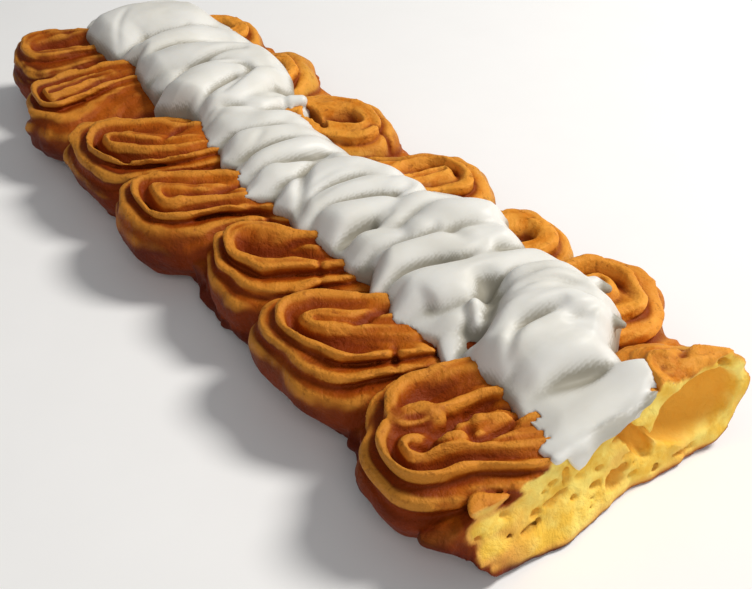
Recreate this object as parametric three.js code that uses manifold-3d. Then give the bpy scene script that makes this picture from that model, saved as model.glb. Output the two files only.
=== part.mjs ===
// A strip of choux pastry. Two rows of piped comma swirls are baked together side by side, whipped cream is
// piped across the seam between them, and the near end (+X) is cut straight across, so that its hollow crumb
// shows. The strip lies flat on its base. Units are millimetres, +Z is up.
import * as THREE from "three";
import { mergeVertices } from "three/addons/utils/BufferGeometryUtils.js";
import Module from "manifold-3d";

const wasm = await Module();
wasm.setup();

// Driving dimensions of the strip. The cut lies in the plane x = 0 and the far end is at negative x.
const FAR_END_X = -297;
const BASE_HALF_WIDTH = 38;
const SIDE_HALF_WIDTH = 43.5;
const LEFT_WIDENING = 1.06;
const SLAB_HEIGHT = 17;
const SWIRL_TOP = 25;
const SEAM_TOP = 26;
const SEAM_BOTTOM = 4;
const SEAM_HALF_WIDTH = 13;
const SEAM_SHOULDER = 5;
const SEAM_MIDDLE_Y = 1.5;
const SEAM_LENGTH = 297;

// Each swirl: the outer end, bend and tail of the fold it is wrapped round, as places along the strip and
// distances from its middle line, then how far its tip reaches from the middle line, its half widths towards
// the near and the far end, and how much higher than usual it rose.
const LEFT_SWIRLS = [
  { fold: [[18, 38], [22, 29], [30, 6]], reach: 46, near: 18, far: 21, rise: -3 },
  { fold: [[-21, 41], [-14, 28], [-2, 6]], reach: 54, near: 18, far: 19, rise: 0.5 },
  { fold: [[-32, 34], [-35, 24], [-30, 6]], reach: 50, near: 12, far: 13, rise: 1.5 },
  { fold: [[-74, 36], [-64, 26], [-50, 6]], reach: 52, near: 26, far: 18, rise: 0.5 },
  { fold: [[-115, 37], [-105, 26], [-94, 6]], reach: 49.5, near: 23, far: 17, rise: 0 },
  { fold: [[-157, 41], [-149, 31], [-134, 6]], reach: 56, near: 25, far: 20, rise: 0 },
  { fold: [[-199, 44], [-190, 32], [-175, 6]], reach: 57.5, near: 22, far: 22, rise: 0.5 },
  { fold: [[-246, 46], [-249, 32], [-243, 6]], reach: 61, near: 29, far: 16, rise: 0 },
  { fold: [[-286, 36], [-283, 26], [-276, 6]], reach: 49, near: 22, far: 17, rise: -0.8 },
];
const RIGHT_SWIRLS = [
  { fold: [[2, 27], [0, 22], [-3, 15]], reach: 42, near: 22, far: 22, rise: 6 },
  { fold: [[-43, 33], [-46, 22], [-48, 6]], reach: 52, near: 18, far: 23, rise: 1 },
  { fold: [[-78, 32], [-81, 22], [-84, 6]], reach: 48.5, near: 16, far: 20, rise: 0 },
  { fold: [[-115, 32], [-120, 22], [-125, 6]], reach: 49.5, near: 17, far: 26, rise: 0.5 },
  { fold: [[-163, 29], [-169, 20], [-176, 6]], reach: 44.5, near: 19, far: 28, rise: 1 },
  { fold: [[-214, 30], [-220, 21], [-226, 6]], reach: 45.5, near: 16, far: 27, rise: 0 },
  { fold: [[-258, 29], [-264, 20], [-270, 6]], reach: 44, near: 16, far: 24, rise: 0 },
];
const TAIL_SHORTENING = 2;
const TILT_TO_CUT = 0.06;
const UNEVENNESS = 0.035;

// Ridges of a swirl from the fold outwards: share of the way to its rim, and height under the swirl's top.
const RIDGE_PROFILE = [
  [0.03, -2],
  [0.16, -1.2],
  [0.31, -5],
  [0.48, 0],
  [0.64, -4],
  [0.79, -3.6],
  [0.89, -8],
  [0.98, -10],
  [1, -14],
  [0.8, -23.5],
];

// Bubbles in the crumb that the cut opened: across, height, then their half-sizes along, across and up.
const BUBBLES = [
  { across: 23.5, height: 15.5, size: [15, 14.5, 9.5] },
  { across: 4.5, height: 16, size: [10, 4.5, 5] },
  { across: 34.5, height: 23, size: [5, 3, 1.8] },
  { across: -0.5, height: 7.5, size: [4, 2.6, 2.4] },
  { across: -22, height: 11.5, size: [4, 3, 1.8] },
  { across: -27.5, height: 5.5, size: [4, 2.4, 1.9] },
  { across: -34, height: 8, size: [4, 2.2, 1.8] },
];

// Ribbons of whipped cream, piped across the seam one after the other: where along the strip, from which
// side distance to which, their half thickness and how high their crown stands.
const RIBBONS = [
  { along: -283, from: -13, to: 26, thick: 11, crown: 31 },
  { along: -266, from: -14, to: 27, thick: 12, crown: 36 },
  { along: -247, from: -13, to: 27, thick: 11, crown: 35 },
  { along: -228, from: -15, to: 25, thick: 13, crown: 37 },
  { along: -209, from: -16, to: 25, thick: 12, crown: 36 },
  { along: -191, from: -15, to: 19, thick: 10, crown: 31 },
  { along: -174, from: -15, to: 15, thick: 10, crown: 30.5 },
  { along: -158, from: -16, to: 12, thick: 9, crown: 30 },
  { along: -142, from: -17, to: 12, thick: 10, crown: 30.5 },
  { along: -126, from: -18, to: 17, thick: 10, crown: 31 },
  { along: -110, from: -14, to: 23, thick: 10, crown: 32 },
  { along: -93, from: -12, to: 29, thick: 12, crown: 36 },
  { along: -78, from: -13, to: 25, thick: 11, crown: 33 },
  { along: -64, from: -13, to: 20, thick: 10, crown: 32 },
  { along: -50, from: -12, to: 26, thick: 12, crown: 37 },
  { along: -37, from: -13, to: 28, thick: 12, crown: 39 },
  { along: -24, from: -12, to: 24, thick: 11, crown: 36 },
  { along: -10, from: -12, to: 14, thick: 8, crown: 30 },
];
const RIBBON_LEAN = -0.12;
const RIBBON_TEETH = 6;
const RIBBON_GROOVE = 0.86;
const RIBBON_END_DROP = 9;
const CREAM_BED_TOP = 27.5;
const CREAM_BED_BOTTOM = 20;
const CREAM_BED_HALF_WIDTH = 13;
const CREAM_GAP = 0.3;

// Turns a closed three.js geometry into a solid.
function toSolid(geometry) {
  const bare = geometry.clone();
  bare.deleteAttribute("normal");
  bare.deleteAttribute("uv");
  const merged = mergeVertices(bare, 1e-4);
  return new wasm.Manifold(
    new wasm.Mesh({
      numProp: 3,
      vertProperties: new Float32Array(merged.attributes.position.array),
      triVerts: new Uint32Array(merged.index.array),
    }),
  );
}

// Turns a solid back into a named mesh.
function toMesh(name, solid, material) {
  const cut = solid.getMesh();
  const geometry = new THREE.BufferGeometry();
  geometry.setAttribute("position", new THREE.BufferAttribute(new Float32Array(cut.vertProperties), 3));
  geometry.setIndex(new THREE.BufferAttribute(new Uint32Array(cut.triVerts), 1));
  geometry.computeVertexNormals();
  const mesh = new THREE.Mesh(geometry, material);
  mesh.name = name;
  return mesh;
}

// A closed skin over rings of equal length. Each end is closed by a strip between the ring's two sides,
// so a long thin ring closes as well as a round one.
function closedLoft(rings) {
  const count = rings[0].length;
  const positions = rings.flat().flatMap((point) => [point.x, point.y, point.z]);
  const faces = [];
  for (let ring = 0; ring + 1 < rings.length; ring++) {
    for (let i = 0; i < count; i++) {
      const next = (i + 1) % count;
      const a = ring * count + i;
      const b = ring * count + next;
      faces.push(a, a + count, b, b, a + count, b + count);
    }
  }
  closeEnd(faces, 0, count, false);
  closeEnd(faces, (rings.length - 1) * count, count, true);
  const geometry = new THREE.BufferGeometry();
  geometry.setAttribute("position", new THREE.Float32BufferAttribute(positions, 3));
  geometry.setIndex(faces);
  return geometry;
}

function closeEnd(faces, start, count, turned) {
  const half = count / 2;
  for (let i = 0; i < half; i++) {
    const near = start + i;
    const nearNext = start + i + 1;
    const far = start + ((count - i) % count);
    const farNext = start + count - i - 1;
    const corners = [];
    if (far !== near) corners.push(near, nearNext, far);
    if (farNext !== nearNext) corners.push(nearNext, farNext, far);
    if (turned) corners.reverse();
    faces.push(...corners);
  }
}

// A lofted skin may be wound either way, so the solid with a volume above zero is taken.
function solidOfLoft(rings) {
  const solid = toSolid(closedLoft(rings));
  return solid.volume() > 0 ? solid : toSolid(closedLoft(rings.slice().reverse()));
}

// The fold line of a swirl, a smooth curve from its outer end to its tail under the cream.
function foldCurve(swirl, side) {
  const places = swirl.fold.map(([along, across]) => new THREE.Vector3(along, side * across, 0));
  return new THREE.QuadraticBezierCurve3(...places);
}

// Points round the fold: for each the nearest point on the fold and the direction that leads away from it.
// The first point looks outwards, to the swirl's tip, and the middle one looks to its tail.
function spokesAround(fold) {
  const OUTER_TURNS = 5;
  const SIDE_STEPS = 4;
  const TAIL_TURNS = 1;
  const spokes = [];
  const direction = (t, turn) => {
    const tangent = fold.getTangent(t);
    return tangent.applyAxisAngle(new THREE.Vector3(0, 0, 1), turn);
  };
  for (let i = 0; i < OUTER_TURNS; i++) {
    spokes.push({ foot: fold.getPoint(0), away: direction(0, Math.PI - (i / OUTER_TURNS) * (Math.PI / 2)) });
  }
  for (let i = 0; i < SIDE_STEPS; i++) {
    const t = i / SIDE_STEPS;
    spokes.push({ foot: fold.getPoint(t), away: direction(t, Math.PI / 2) });
  }
  for (let i = 0; i <= TAIL_TURNS; i++) {
    spokes.push({ foot: fold.getPoint(1), away: direction(1, (1 - i / TAIL_TURNS) * (Math.PI / 2)) });
  }
  const otherSide = spokes.slice(1, -1).reverse();
  for (const spoke of otherSide) {
    const tangent = direction(nearestShare(fold, spoke.foot), 0);
    const mirrored = spoke.away.clone().reflect(new THREE.Vector3(-tangent.y, tangent.x, 0));
    spokes.push({ foot: spoke.foot, away: mirrored });
  }
  return spokes;
}

function nearestShare(fold, foot) {
  const start = fold.getPoint(0);
  const end = fold.getPoint(1);
  if (foot.distanceTo(start) < 1e-6) return 0;
  if (foot.distanceTo(end) < 1e-6) return 1;
  let best = 0;
  for (let t = 0; t <= 1; t += 1 / 64) {
    if (fold.getPoint(t).distanceTo(foot) < fold.getPoint(best).distanceTo(foot)) best = t;
  }
  return best;
}

// How wide a swirl is in the direction of a spoke: its near half width, its far one or one between them.
function halfWidth(swirl, spoke) {
  const turnedNear = THREE.MathUtils.smoothstep(spoke.away.x, -0.8, 0.8);
  return THREE.MathUtils.lerp(swirl.far, swirl.near, turnedNear);
}

// How much a swirl is drawn out or shortened across the strip in the direction of a spoke.
function stretchAcross(swirl, side, spoke) {
  const outerEnd = swirl.fold[0][1];
  const tail = swirl.fold[2][1];
  if (Math.abs(spoke.foot.y) > outerEnd - 0.01) {
    return (swirl.reach - outerEnd) / Math.max(swirl.near, swirl.far);
  }
  return Math.abs(spoke.foot.y) < tail + 0.01 ? 1 / TAIL_SHORTENING : 1;
}

// One piped swirl: ridges that run round its fold like the turns of a comma.
function swirlSolid(swirl, side) {
  const spokes = spokesAround(foldCurve(swirl, side));
  const middle = swirl.fold[1][0];
  const tilt = side < 0 ? TILT_TO_CUT : 0;
  const rings = RIDGE_PROFILE.map(([share, drop]) =>
    spokes.map((spoke, number) => {
      const uneven = 1 + UNEVENNESS * Math.sin(number * 1.7 + middle + 4 * share);
      const distance = share * halfWidth(swirl, spoke) * uneven;
      const x = spoke.foot.x + spoke.away.x * distance;
      const y = spoke.foot.y + spoke.away.y * distance * stretchAcross(swirl, side, spoke);
      const z = Math.max(SWIRL_TOP + swirl.rise + drop * uneven + tilt * (middle - x), 1);
      return new THREE.Vector3(x, y, z);
    }),
  );
  return solidOfLoft(rings);
}

// A long body along the strip, from rings of a rounded cross-section that narrows at the far end.
function barAlong(stations, section) {
  const rings = stations.map(({ x, shift, wide, high }) =>
    section.map(([across, height]) => new THREE.Vector3(x, shift + across * wide, height * high)),
  );
  return solidOfLoft(rings);
}

// The dough under the swirls, spread into one slab with bulging sides and a flat base. It spread a little
// more to the left.
function slabSolid() {
  const FAR_ROUNDING = 26;
  const BLUNT = 4;
  const PAST_CUT = 10;
  const STEPS = 12;
  const outline = [
    [BASE_HALF_WIDTH, 0],
    [SIDE_HALF_WIDTH * 0.97, 4],
    [SIDE_HALF_WIDTH, 9],
    [SIDE_HALF_WIDTH * 0.93, 14],
    [SIDE_HALF_WIDTH * 0.7, SLAB_HEIGHT],
    [0, SLAB_HEIGHT + 1],
  ];
  const leftSide = outline.slice(0, -1).reverse();
  const widened = leftSide.map(([across, height]) => [-across * LEFT_WIDENING, height]);
  const section = [[0, 0], ...outline, ...widened];
  const stations = [];
  for (let i = 0; i <= STEPS; i++) {
    const x = FAR_END_X + (i / STEPS) ** 1.4 * (PAST_CUT - FAR_END_X);
    const inFromEnd = Math.min((x - FAR_END_X + BLUNT) / (FAR_ROUNDING + BLUNT), 1);
    const wide = Math.sqrt(1 - (1 - inFromEnd) ** 2);
    stations.push({ x, shift: 0, wide, high: 1 });
  }
  return barAlong(stations, section);
}

// The seam where the tails of both rows ran together. The cream lies on it.
function seamSolid() {
  const STEPS = 10;
  const START_X = FAR_END_X + 10;
  const BEND = 31;
  const section = [
    [0, SEAM_BOTTOM],
    [SEAM_HALF_WIDTH, SEAM_BOTTOM],
    [SEAM_HALF_WIDTH, SEAM_TOP - 2.5],
    [SEAM_HALF_WIDTH - SEAM_SHOULDER, SEAM_TOP - 0.3],
    [0, SEAM_TOP],
    [SEAM_SHOULDER - SEAM_HALF_WIDTH, SEAM_TOP - 0.3],
    [-SEAM_HALF_WIDTH, SEAM_TOP - 2.5],
    [-SEAM_HALF_WIDTH, SEAM_BOTTOM],
  ];
  const stations = [];
  for (let i = 0; i <= STEPS; i++) {
    const x = START_X + (i / STEPS) * SEAM_LENGTH;
    stations.push({ x, shift: SEAM_MIDDLE_Y + Math.sin(x / BEND), wide: 1, high: i === 0 ? 0.8 : 1 });
  }
  return barAlong(stations, section);
}

// What the knife took away: a block whose face bulges a little, as torn crumb does. On the left the foot of
// the cut leans out.
function beyondCut() {
  const DEPTH = 60;
  const TEAR = 0.7;
  const BULGE = 0.5;
  const FOOT = 5;
  const FOOT_HEIGHT = 15;
  const block = new THREE.BoxGeometry(DEPTH, 140, 70, 1, 12, 6);
  const position = block.attributes.position;
  for (let i = 0; i < position.count; i++) {
    if (position.getX(i) < 0) {
      const y = position.getY(i);
      const z = position.getZ(i);
      const tear = TEAR * Math.sin(y / 5.1 + 1) * Math.cos(z / 4.3);
      const footAcross = 1 - THREE.MathUtils.smoothstep(y, -18, 8);
      const footUp = 1 - THREE.MathUtils.smoothstep(z + DEPTH / 2, 0, FOOT_HEIGHT);
      position.setX(i, position.getX(i) + FOOT * footAcross * footUp - tear - BULGE * Math.sin(y / 11));
    }
  }
  block.translate(DEPTH / 2, 0, DEPTH / 2);
  return toSolid(block);
}

function bubbleSolid({ across, height, size }) {
  const large = Math.max(...size) > 8;
  const ball = large ? new THREE.SphereGeometry(1, 14, 9) : new THREE.SphereGeometry(1, 9, 6);
  ball.rotateZ(0.3);
  ball.scale(...size);
  ball.translate(0, across, height);
  return toSolid(ball);
}

function pastrySolid() {
  let dough = slabSolid().add(seamSolid());
  LEFT_SWIRLS.forEach((swirl) => {
    dough = dough.add(swirlSolid(swirl, -1));
  });
  RIGHT_SWIRLS.forEach((swirl) => {
    dough = dough.add(swirlSolid(swirl, 1));
  });
  dough = dough.subtract(beyondCut());
  BUBBLES.forEach((bubble) => {
    dough = dough.subtract(bubbleSolid(bubble));
  });
  return dough;
}

// One ribbon of cream with the ridges of a star nozzle, arched over the seam, both ends down on the dough.
function ribbonSolid(ribbon) {
  const STATIONS = 8;
  const POINTS = RIBBON_TEETH * 2;
  const rings = [];
  for (let i = 0; i < STATIONS; i++) {
    const share = i / (STATIONS - 1);
    const bulge = Math.sqrt(Math.max(1 - (2 * share - 1) ** 4, 0.04));
    const y = THREE.MathUtils.lerp(ribbon.from, ribbon.to, share);
    const middleY = (ribbon.from + ribbon.to) / 2;
    const x = ribbon.along + RIBBON_LEAN * (y - middleY);
    const z = ribbon.crown - ribbon.thick - RIBBON_END_DROP * Math.abs(2 * share - 1) ** 2.5;
    const ring = [];
    for (let k = 0; k < POINTS; k++) {
      const turn = ((k + 1) / POINTS) * 2 * Math.PI;
      const radius = ribbon.thick * bulge * (k % 2 ? RIBBON_GROOVE : 1);
      ring.push(new THREE.Vector3(x + Math.cos(turn) * radius, y, z + Math.sin(turn) * radius));
    }
    rings.push(ring);
  }
  return solidOfLoft(rings);
}

// The cream between and under the ribbons, which joins them into one band.
function creamBedSolid() {
  const HALF = CREAM_BED_HALF_WIDTH;
  const section = [
    [0, CREAM_BED_BOTTOM],
    [HALF, CREAM_BED_BOTTOM],
    [HALF + 2, CREAM_BED_BOTTOM + 2],
    [HALF * 0.7, CREAM_BED_TOP - 1],
    [0, CREAM_BED_TOP],
    [-HALF * 0.7, CREAM_BED_TOP - 1],
    [-HALF - 2, CREAM_BED_BOTTOM + 2],
    [-HALF, CREAM_BED_BOTTOM],
  ];
  const stations = RIBBONS.map((ribbon) => ({
    x: ribbon.along,
    shift: (ribbon.from + ribbon.to) / 2,
    wide: (ribbon.to - ribbon.from) / 2 / HALF,
    high: 1,
  }));
  return barAlong(stations, section);
}

// The cream lies on the dough without cutting into it, and its loose scraps are dropped.
function creamSolid(dough) {
  let cream = creamBedSolid();
  RIBBONS.forEach((ribbon) => {
    cream = cream.add(ribbonSolid(ribbon));
  });
  return largestBody(cream.subtract(dough.translate([0, 0, CREAM_GAP])));
}

function largestBody(solid) {
  const bodies = solid.decompose();
  return bodies.reduce((best, body) => (body.volume() > best.volume() ? body : best));
}

const crust = new THREE.MeshStandardMaterial({ color: 0xb0702c, roughness: 0.6, metalness: 0 });
const whippedCream = new THREE.MeshStandardMaterial({ color: 0xf1efe9, roughness: 0.45, metalness: 0 });

const dough = pastrySolid();
const strip = new THREE.Group();
strip.add(toMesh("pastry", dough, crust));
strip.add(toMesh("cream", creamSolid(dough), whippedCream));

// The origin is the middle of the base.
const box = new THREE.Box3().setFromObject(strip);
const middle = box.getCenter(new THREE.Vector3());
strip.position.set(-middle.x, -middle.y, -box.min.z);

export default strip;
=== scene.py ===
import math

import bpy
import numpy as np
import openvdb
from mathutils import Matrix, Vector


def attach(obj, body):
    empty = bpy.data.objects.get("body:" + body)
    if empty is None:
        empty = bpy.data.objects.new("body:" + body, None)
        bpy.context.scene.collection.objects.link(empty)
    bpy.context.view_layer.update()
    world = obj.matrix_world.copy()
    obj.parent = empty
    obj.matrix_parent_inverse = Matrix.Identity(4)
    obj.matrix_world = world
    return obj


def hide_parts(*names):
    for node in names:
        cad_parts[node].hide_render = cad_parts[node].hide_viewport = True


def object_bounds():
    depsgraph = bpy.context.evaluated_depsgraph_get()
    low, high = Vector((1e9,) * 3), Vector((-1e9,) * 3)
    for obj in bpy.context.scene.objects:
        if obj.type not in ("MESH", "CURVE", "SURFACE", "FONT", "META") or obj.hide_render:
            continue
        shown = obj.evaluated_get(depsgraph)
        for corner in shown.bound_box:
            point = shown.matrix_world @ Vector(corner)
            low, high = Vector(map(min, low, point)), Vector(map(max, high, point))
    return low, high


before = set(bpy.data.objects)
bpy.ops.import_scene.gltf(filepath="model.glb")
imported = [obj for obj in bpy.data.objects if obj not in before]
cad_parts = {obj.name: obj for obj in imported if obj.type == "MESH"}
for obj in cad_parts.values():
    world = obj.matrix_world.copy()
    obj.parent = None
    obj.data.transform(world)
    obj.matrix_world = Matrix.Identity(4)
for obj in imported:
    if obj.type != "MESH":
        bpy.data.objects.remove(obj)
frame_low, frame_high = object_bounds()

MM = 0.001

# How far the cut end bulges past the cut plane, and how far the middle line lies from the box's middle.
CUT_BULGE = 4.59
MIDDLE_LINE_OFFSET = 4.105
CUT_PLANE_X = frame_high.x / MM - CUT_BULGE

# The dough: two rows of swirls on a slab, and a seam under the cream. The values are those of the CAD part.
FAR_END_X = -297.0
SLAB_HALF_WIDTH = 43.5
SLAB_NOTCH_X = -48.0
CUT_END_HALF_WIDTH = 40.0
SLAB_HEIGHT = 17.0
SWIRL_TOP = 25.0
SWIRL_MIDDLE_HEIGHT = 14.5
SWIRL_TILT = 0.06
UNDER_TUCK = 0.3
TAIL_SHORTENING = 2.0
SEAM_TOP = 25.0
SEAM_HALF_WIDTH = 12.5
SEAM_MIDDLE_Y = 1.5
RIDGE_PITCH = 8.0
RIDGE_DEPTH = 3.0
FIRST_RIDGE_RISE = 0.9
DRAG_PITCH = 2.3
DRAG_DEPTH = 0.2
POCKET_DEPTH = 5.5
JOIN_SOFTNESS = 0.8

# Each swirl: the outer end, bend and tail of the line it is wrapped round (along the strip, from the middle
# line), how far its tip reaches, its half widths to the near and the far side, how far its first ridge runs
# from the line, whether a tongue of dough lies inside that ridge, how high it rose, how deep its ridges are
# as a share of the full depth, and how far down its near side they run before the dough is stretched smooth.
SWIRL_VALUES = ("line", "reach", "near", "far", "ring", "tongue", "rise", "depth", "ridged")
LEFT_SWIRLS = [
    (((18, 38), (22, 29), (30, 6)), 45, 18, 21, 10, 0, -3, 1.0, 40),
    (((-21, 41), (-14, 28), (-2, 6)), 54, 18, 19, 10.5, 1, 0.5, 1.0, 24),
    (((-32, 34), (-35, 24), (-30, 6)), 50, 12, 13, 6.0, 0, 1.5, 1.0, 30),
    (((-74, 36), (-64, 26), (-50, 6)), 52, 26, 18, 11.2, 1, 0.5, 1.0, 22),
    (((-115, 37), (-105, 26), (-94, 6)), 49.5, 23, 17, 8.7, 0, 0, 1.0, 20),
    (((-157, 41), (-149, 31), (-134, 6)), 56, 25, 20, 12, 1, 0, 1.0, 15),
    (((-199, 44), (-190, 32), (-175, 6)), 57.5, 22, 22, 11.5, 1, 0.5, 1.0, 26),
    (((-246, 46), (-249, 32), (-243, 6)), 61, 29, 16, 10.5, 1, 0, 1.0, 14),
    (((-286, 36), (-283, 26), (-276, 6)), 49, 22, 17, 9, 0, -0.8, 0.4, 30),
]
RIGHT_SWIRLS = [
    (((2, 27), (0, 22), (-3, 15)), 42, 22, 22, 11, 0, 6.0, 0.7, 12),
    (((-43, 33), (-46, 22), (-48, 6)), 52, 18, 23, 11, 1, 1, 1.0, 22),
    (((-78, 32), (-81, 22), (-84, 6)), 48.5, 16, 20, 9, 0, 0, 0.6, 14),
    (((-115, 32), (-120, 22), (-125, 6)), 49.5, 17, 26, 10, 1, 0.5, 0.8, 16),
    (((-163, 29), (-169, 20), (-176, 6)), 44.5, 19, 28, 12, 0, 1, 0.5, 16),
    (((-214, 30), (-220, 21), (-226, 6)), 45.5, 16, 27, 10, 0, 0, 0.6, 14),
    (((-258, 29), (-264, 20), (-270, 6)), 44, 16, 24, 10, 0, 0, 0.6, 14),
]

# Creases where a swirl's tail was dragged off or one fold of dough ran into the next: a line (along, across),
# a half width and a depth.
DOUGH_CREASES = [
    (((-55, -24), (-51, -27), (-47, -29)), 1.0, 1.8),
    (((-66, -29), (-67, -22), (-64, -13)), 1.6, 2.2),
    (((-53, -18), (-48, -16), (-44, -18)), 1.1, 1.5),
    (((-18, -42), (-21, -36), (-24, -25), (-24, -18)), 2.0, 3.0),
    (((-22, -26), (-15, -29), (-14, -22), (-16, -14)), 1.4, 2.6),
    (((-98, -21), (-95, -23), (-91, -25)), 0.9, 1.4),
    (((-111, -28), (-108, -20), (-100, -15)), 1.4, 2.2),
    (((-136, -29), (-134, -22), (-125, -21)), 1.3, 2.0),
    (((-131, -33), (-127, -29), (-124, -24)), 1.5, 2.4),
    (((-148, -30), (-146, -20), (-137, -19)), 1.4, 2.0),
    (((-186, -29), (-189, -24), (-190, -19)), 1.2, 1.8),
    (((-205, -33), (-203, -26), (-200, -20)), 1.3, 1.8),
    (((-153, 27), (-154, 32), (-148, 34), (-142, 30)), 1.0, 1.6),
    (((-141, 21), (-136, 24), (-133, 30)), 1.4, 2.2),
    (((-65, 35), (-63, 31), (-64, 27)), 1.2, 2.0),
    (((-10, 20), (-9, 28), (-3, 38)), 1.1, 1.2),
    (((-7, 27), (-5, 24), (-4, 21)), 1.4, 1.6),
    (((-92, 38), (-90, 32), (-93, 26)), 1.2, 2.0),
    (((-208, 33), (-203, 28), (-201, 22)), 1.3, 2.0),
]

# The crust of one swirl tore open beside the cream: middle, half sizes, and how far it is turned in plan.
TORN_OPENING = ((-170.0, 18.5, 23.5), (9.5, 2.6, 5.0), -0.12)

# Bubbles that the cut opened: across, height, half sizes along, across and up, and how far each is turned.
BUBBLES = [
    (25.0, 17.3, (12, 13.6, 10.4), 0.0),
    (6.6, 16.4, (9, 9.2, 3.2), -0.95),
    (33.0, 27.0, (5, 3.2, 1.2), -0.6),
    (-0.2, 7.6, (5, 3.0, 2.7), 0.0),
    (-26.0, 8.4, (4, 3.8, 1.0), 0.1),
    (-26.0, 4.0, (4, 2.3, 1.5), 0.2),
    (-34.5, 5.0, (4, 2.2, 1.3), 0.4),
    (-16.0, 12.6, (3, 2.4, 1.0), 0.2),
    (-9.5, 5.2, (3, 2.0, 1.0), 0.1),
    (-6.5, 9.6, (3, 1.4, 0.9), 0.0),
]

SMALL_BUBBLES = 42
SMALL_BUBBLE_SEED = 31

# The grids that the shapes are worked out on: from and to along, across and up, and the size of their cells.
DOUGH_BOX = ((-311, 8), (-64, 57), (-2.5, 34))
CREAM_BOX = ((-303, 5), (-26, 38), (13, 42))
DOUGH_VOXEL = 0.65
CREAM_VOXEL = 0.55
SWIRL_MARGIN = 8.0
BASE_CLEARANCE = 0.15

# How far the foot of the cut leans out on the left, and by what share the slab tucks in beside it.
CUT_FOOT = 5.0
CUT_TUCK = 0.1


def linear(red, green, blue):
    """A colour read from the photograph, 0 to 255, as Blender's linear colour."""
    values = []
    for share in (red / 255, green / 255, blue / 255):
        values.append(share / 12.92 if share <= 0.04045 else ((share + 0.055) / 1.055) ** 2.4)
    return (*values, 1.0)


def soft_step(low, high, value):
    share = np.clip((value - low) / (high - low), 0, 1)
    return share * share * (3 - 2 * share)


def soft_min(a, b, softness):
    """The smaller of two fields, with the corner between them rounded over."""
    blend = np.clip(0.5 + 0.5 * (b - a) / softness, 0, 1)
    return b + (a - b) * blend - softness * blend * (1 - blend)


def soft_max(a, b, softness):
    return -soft_min(-a, -b, softness)


def grid_axes(box, step):
    return [np.arange(low, high + step / 2, step, dtype=np.float32) for low, high in box]


def smooth_noise(axes, cell, seed):
    """Soft random values, about -1 to 1, on the grid of the axes, with one fresh value every cell."""
    random = np.random.default_rng(seed)
    counts = [int((axis[-1] - axis[0]) / cell) + 5 for axis in axes]
    values = random.uniform(-1, 1, counts)
    for number, axis in enumerate(axes):
        place = (axis - axis[0]) / cell + 1
        cell_number = np.floor(place).astype(int)
        share = place - cell_number
        weights = np.zeros((len(axis), counts[number]))
        rows = np.arange(len(axis))
        weights[rows, cell_number - 1] += (1 - share) ** 3 / 6
        weights[rows, cell_number] += (3 * share**3 - 6 * share**2 + 4) / 6
        weights[rows, cell_number + 1] += (-3 * share**3 + 3 * share**2 + 3 * share + 1) / 6
        weights[rows, cell_number + 2] += share**3 / 6
        values = np.moveaxis(np.tensordot(weights, values, axes=(1, number)), 0, number)
    return np.clip(values * 2.2, -1.5, 1.5).astype(np.float32)


def bend_line(points, count):
    """Points on the smooth curve from the first point to the last that bends towards the middle one."""
    start, bend, end = (np.array(point, float) for point in points)
    share = np.linspace(0, 1, count)[:, None]
    return (1 - share) ** 2 * start + 2 * share * (1 - share) * bend + share**2 * end


def smooth_line(points, steps=6):
    """Points on the smooth curve that runs through every given point."""
    known = np.array(points, float)
    ends = np.concatenate([[2 * known[0] - known[1]], known, [2 * known[-1] - known[-2]]])
    line = []
    for number in range(1, len(ends) - 2):
        before, start, end, after = ends[number - 1 : number + 3]
        for share in np.arange(steps) / steps:
            bend = -0.5 * before + 1.5 * start - 1.5 * end + 0.5 * after
            sway = before - 2.5 * start + 2 * end - 0.5 * after
            slope = 0.5 * (end - before)
            line.append(start + share * (slope + share * (sway + share * bend)))
    line.append(known[-1])
    return np.array(line)


def nearest_on_line(line, x, y):
    """For each plan point: its distance to the line, the share along it, and on which side it lies.

    The side is 1 on the line's left, -1 on its right, and changes softly past its ends."""
    best = np.full(x.shape, 1e9)
    share = np.zeros(x.shape)
    side = np.zeros(x.shape)
    total = len(line) - 1
    for number in range(total):
        start = line[number]
        leg = line[number + 1] - start
        length = math.hypot(*leg)
        direction = leg / length
        from_x = x - start[0]
        from_y = y - start[1]
        along = np.clip(from_x * direction[0] + from_y * direction[1], 0, length)
        off_x = from_x - along * direction[0]
        off_y = from_y - along * direction[1]
        distance = np.hypot(off_x, off_y)
        closer = distance < best
        best = np.where(closer, distance, best)
        share = np.where(closer, (number + along / length) / total, share)
        turned = direction[0] * off_y - direction[1] * off_x
        side = np.where(closer, turned / (distance + 1e-6), side)
    return best, share, side


def profile_lengths(radius, upper, lower, power):
    """How far it is over a swirl's rounded profile from its top to each turn, down the side and under."""
    turns = np.linspace(0, math.pi, 181)
    out = np.abs(np.sin(turns)) ** (2 / power) * radius
    height = np.sign(np.cos(turns)) * np.abs(np.cos(turns)) ** (2 / power)
    height = np.where(height > 0, height * upper, height * lower)
    steps = np.hypot(np.diff(out), np.diff(height))
    return turns, np.concatenate([[0], np.cumsum(steps)])


def ridge_depth(travelled, first_ridge, pitch):
    """How deep the surface lies under the crests of the nozzle's ridges, from 0 on a crest to 1."""
    phase = np.pi * (travelled - first_ridge - pitch / 2) / pitch
    return 1 - np.abs(np.sin(phase)) ** 1.3


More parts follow.
